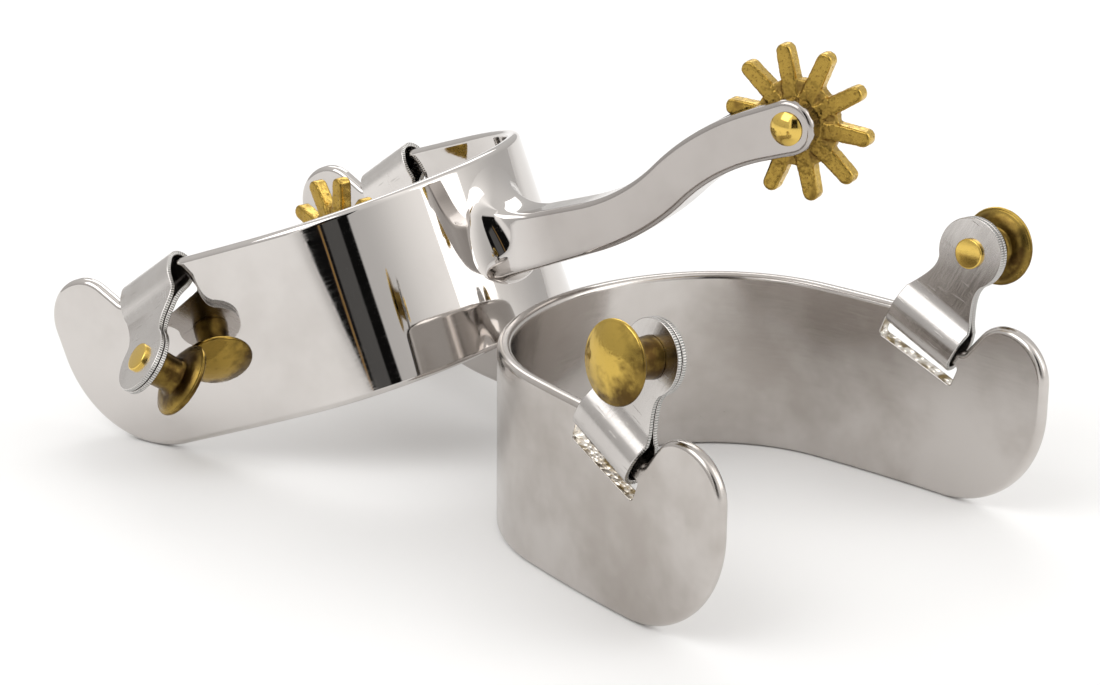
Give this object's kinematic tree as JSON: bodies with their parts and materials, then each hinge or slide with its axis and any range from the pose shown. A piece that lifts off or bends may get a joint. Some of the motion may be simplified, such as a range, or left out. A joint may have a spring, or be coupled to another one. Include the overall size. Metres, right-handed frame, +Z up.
{
  "type": "western spurs",
  "caption": "Pair of western boot spurs with a slotted U heel band, curved shank, spinning toothed rowel and swinging button hangers, one leaning on the other.",
  "frame": {"origin": "middle of the bottom edge of the lower spur's heel band, halfway through its thickness", "axes": "+X from the lower spur's heel to its toe ends, +Y to its left, +Z up"},
  "size_m": [0.2038, 0.1345, 0.0956],
  "materials": {
    "polished_steel": "polished stainless steel",
    "strap_steel": "bright rolled strip with filed edges",
    "cast_brass": "cast brass with brown tarnish in the hollows",
    "turned_brass": "turned brass, dark on the neck and underside",
    "polished_brass": "polished brass"
  },
  "bodies": {
    "lower_spur": {"lower_heel_band": "polished_steel", "lower_shank": "polished_steel", "lower_rowel_pin": "polished_brass"},
    "lower_rowel_wheel": {"lower_rowel": "cast_brass"},
    "lower_left_strap": {"lower_left_hanger": "strap_steel", "lower_left_button": "turned_brass", "lower_left_rivet": "polished_brass"},
    "lower_right_strap": {"lower_right_hanger": "strap_steel", "lower_right_button": "turned_brass", "lower_right_rivet": "polished_brass"},
    "upper_spur": {"upper_heel_band": "polished_steel", "upper_shank": "polished_steel", "upper_rowel_pin": "polished_brass"},
    "upper_rowel_wheel": {"upper_rowel": "cast_brass"},
    "upper_left_strap": {"upper_left_hanger": "strap_steel", "upper_left_button": "turned_brass", "upper_left_rivet": "polished_brass"},
    "upper_right_strap": {"upper_right_hanger": "strap_steel", "upper_right_button": "turned_brass", "upper_right_rivet": "polished_brass"}
  },
  "joints": [
    {"name": "lower_rowel_spin", "type": "hinge", "parent": "lower_spur", "child": "lower_rowel_wheel", "pos_m": [-0.077, 0, 0.0294], "axis": [0, 1, 0], "continuous": true},
    {"name": "lower_left_hanger_swing", "type": "hinge", "parent": "lower_spur", "child": "lower_left_strap", "pos_m": [0.05714, 0.04438, 0.03368], "axis": [-0.9274, -0.0819, 0.3649], "range_deg": [-158, 123]},
    {"name": "lower_right_hanger_swing", "type": "hinge", "parent": "lower_spur", "child": "lower_right_strap", "pos_m": [0.05714, -0.04438, 0.03368], "axis": [0.9274, -0.0819, -0.3649], "range_deg": [-145, 136]},
    {"name": "upper_spur_lift", "type": "slide", "parent": "lower_spur", "child": "upper_spur", "axis": [0, 0, 1], "range_m": [0, 0.12]},
    {"name": "upper_rowel_spin", "type": "hinge", "parent": "upper_spur", "child": "upper_rowel_wheel", "pos_m": [0.0433, 0.01814, 0.08016], "axis": [0.276, -0.9609, -0.0238], "continuous": true},
    {"name": "upper_left_hanger_swing", "type": "hinge", "parent": "upper_spur", "child": "upper_left_strap", "pos_m": [-0.06657, -0.05849, 0.035], "axis": [0.6882, 0.2662, 0.675], "range_deg": [-281, 0]},
    {"name": "upper_right_hanger_swing", "type": "hinge", "parent": "upper_spur", "child": "upper_right_strap", "pos_m": [-0.09106, 0.0268, 0.03711], "axis": [-0.7334, -0.1088, -0.6711], "range_deg": [0, 6]}
  ]
}
